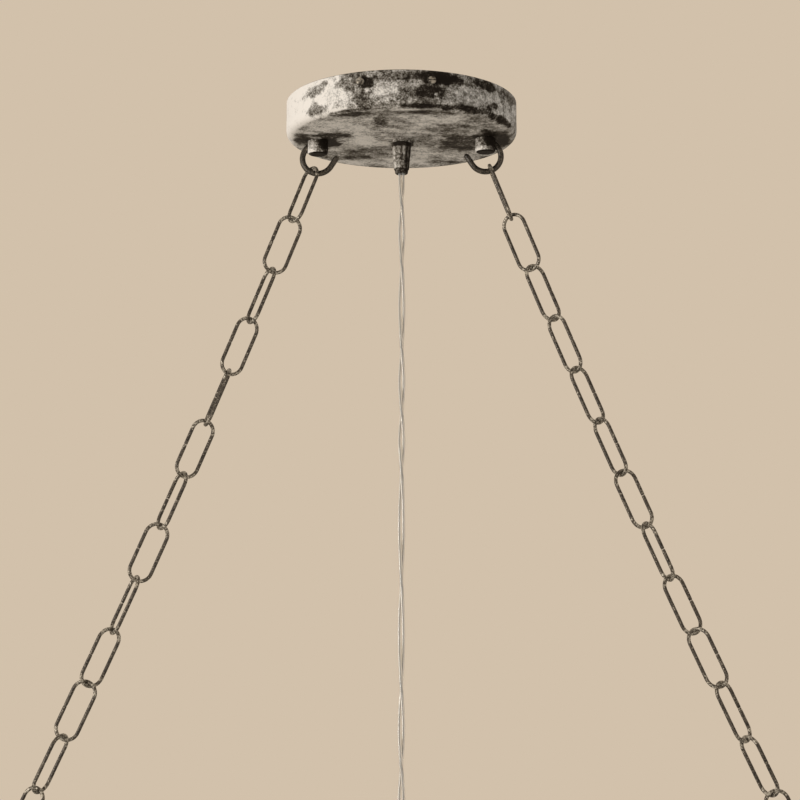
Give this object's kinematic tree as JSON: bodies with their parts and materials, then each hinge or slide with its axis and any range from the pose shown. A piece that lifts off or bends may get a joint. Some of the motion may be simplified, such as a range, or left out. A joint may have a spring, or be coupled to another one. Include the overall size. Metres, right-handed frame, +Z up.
{
  "type": "chandelier",
  "caption": "Rectangular crystal chandelier with candle lamps, hung on splayed chains and a centre cord from a round ceiling canopy.",
  "frame": {"origin": "on the ceiling, midway between the two junction-box screws", "axes": "+Z up into the ceiling, +X along the chandelier's length, front faces -Y"},
  "size_m": [0.7622, 0.2562, 0.7092],
  "materials": {
    "distressed_paint": "worn whitewash rubbed over dark bronze",
    "dark_iron": "satin dark bronze",
    "zinc_steel": "dull zinc plate",
    "green_paint": "satin",
    "connector_plastic": "matte",
    "clear_cord": "clear jacket over silver-grey wire",
    "sleeve_plastic": "ivory, satin",
    "socket_plastic": "matte",
    "bulb_brass": "bright",
    "bulb_glass": "clear",
    "crystal": "clear, faceted",
    "pin_wire": "bright wire"
  },
  "bodies": {
    "canopy": {"canopy_shell": "distressed_paint", "mounting_plate": "zinc_steel", "canopy_side_screws": "distressed_paint", "ground_screw": "green_paint", "load_bar": "zinc_steel", "left_hook_knob": "distressed_paint", "right_hook_knob": "distressed_paint", "left_chain_hook": "dark_iron", "right_chain_hook": "dark_iron", "hook_nuts": "zinc_steel", "cord_grip": "distressed_paint", "cord_grip_nut": "zinc_steel", "wire_connectors": "connector_plastic"},
    "chains": {"left_link_01": "dark_iron", "left_link_02": "dark_iron", "left_link_03": "dark_iron", "left_link_04": "dark_iron", "left_link_05": "dark_iron", "left_link_06": "dark_iron", "left_link_07": "dark_iron", "left_link_08": "dark_iron", "left_link_09": "dark_iron", "left_link_10": "dark_iron", "left_link_11": "dark_iron", "left_link_12": "dark_iron", "left_link_13": "dark_iron", "right_link_01": "dark_iron", "right_link_02": "dark_iron", "right_link_03": "dark_iron", "right_link_04": "dark_iron", "right_link_05": "dark_iron", "right_link_06": "dark_iron", "right_link_07": "dark_iron", "right_link_08": "dark_iron", "right_link_09": "dark_iron", "right_link_10": "dark_iron", "right_link_11": "dark_iron", "right_link_12": "dark_iron", "right_link_13": "dark_iron", "power_cord": "clear_cord"},
    "frame": {"top_rail": "distressed_paint", "bottom_rail": "distressed_paint", "corner_posts": "distressed_paint", "hanger_bar": "distressed_paint", "left_frame_eye": "dark_iron", "right_frame_eye": "dark_iron", "eye_nuts": "zinc_steel", "frame_cord_grip": "distressed_paint", "centre_stem": "distressed_paint", "lamp_bar": "distressed_paint", "candle_cups": "distressed_paint", "candle_sleeves": "sleeve_plastic", "lamp_sockets": "socket_plastic", "bulb_caps": "bulb_brass", "bulb_globes": "bulb_glass", "long_side_crystals": "crystal", "short_side_crystals": "crystal", "crystal_pins": "pin_wire", "drop_eye": "dark_iron"},
    "drop": {"centre_drop": "crystal"}
  },
  "joints": [
    {"name": "chain_swing", "type": "hinge", "parent": "canopy", "child": "chains", "pos_m": [0, 0, -0.04175], "axis": [1, 0, 0], "range_deg": [-10, 10]},
    {"name": "frame_tilt", "type": "hinge", "parent": "chains", "child": "frame", "pos_m": [0, 0, -0.44005], "axis": [1, 0, 0], "range_deg": [-10, 10]},
    {"name": "drop_swing", "type": "hinge", "parent": "frame", "child": "drop", "pos_m": [0, 0, -0.66038], "axis": [1, 0, 0], "range_deg": [-30, 30]}
  ]
}
